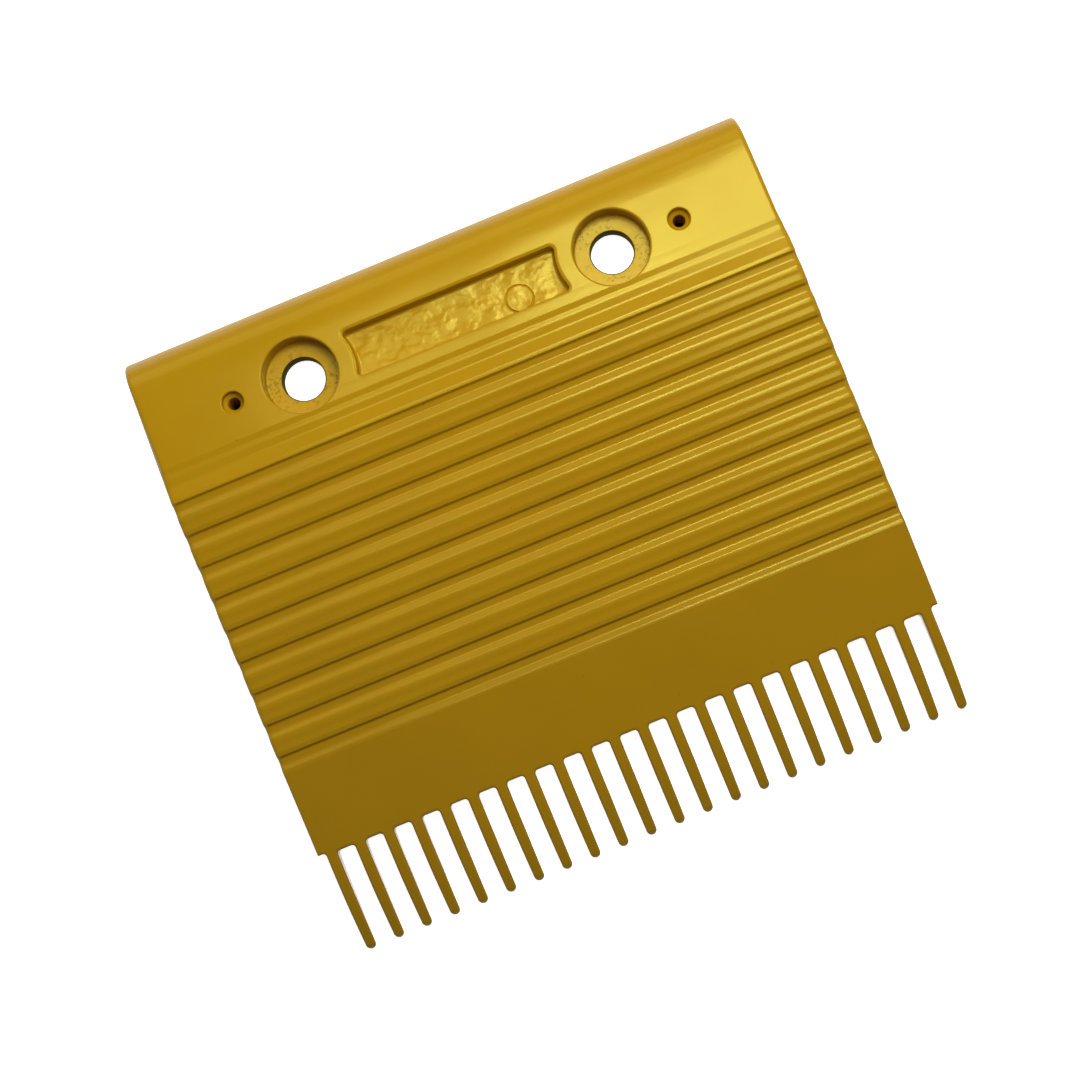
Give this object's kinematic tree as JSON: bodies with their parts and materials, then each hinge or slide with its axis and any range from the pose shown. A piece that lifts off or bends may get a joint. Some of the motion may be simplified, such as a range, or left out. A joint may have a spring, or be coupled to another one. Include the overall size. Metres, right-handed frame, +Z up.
{
  "type": "escalator comb plate",
  "caption": "Escalator comb plate segment: a flat land with counterbored screw holes and a sunk panel, a ribbed sloping tread, a smooth toe and a comb of thin teeth.",
  "frame": {"origin": "midway between the axes of the two fixing screw holes, on the mounting underside", "axes": "+X across the comb to the right seen from the teeth, -Y towards the tips of the teeth, +Z up, out of the tread"},
  "size_m": [0.1992, 0.1893, 0.0318],
  "materials": {
    "yellow_paint": "glossy golden-yellow powder coat"
  },
  "bodies": {
    "root": {"mounting_land": "yellow_paint", "ribbed_tread": "yellow_paint", "toe_ramp": "yellow_paint", "left_screw_pad": "yellow_paint", "right_screw_pad": "yellow_paint", "left_pin_pad": "yellow_paint", "right_pin_pad": "yellow_paint", "left_side_wall": "yellow_paint", "right_side_wall": "yellow_paint", "rear_cross_rib": "yellow_paint", "middle_cross_rib": "yellow_paint", "front_cross_rib": "yellow_paint", "stiffening_rib_1": "yellow_paint", "stiffening_rib_2": "yellow_paint", "stiffening_rib_3": "yellow_paint", "stiffening_rib_4": "yellow_paint", "tooth_01": "yellow_paint", "tooth_02": "yellow_paint", "tooth_03": "yellow_paint", "tooth_04": "yellow_paint", "tooth_05": "yellow_paint", "tooth_06": "yellow_paint", "tooth_07": "yellow_paint", "tooth_08": "yellow_paint", "tooth_09": "yellow_paint", "tooth_10": "yellow_paint", "tooth_11": "yellow_paint", "tooth_12": "yellow_paint", "tooth_13": "yellow_paint", "tooth_14": "yellow_paint", "tooth_15": "yellow_paint", "tooth_16": "yellow_paint", "tooth_17": "yellow_paint", "tooth_18": "yellow_paint", "tooth_19": "yellow_paint", "tooth_20": "yellow_paint", "tooth_21": "yellow_paint", "tooth_22": "yellow_paint"}
  },
  "joints": []
}
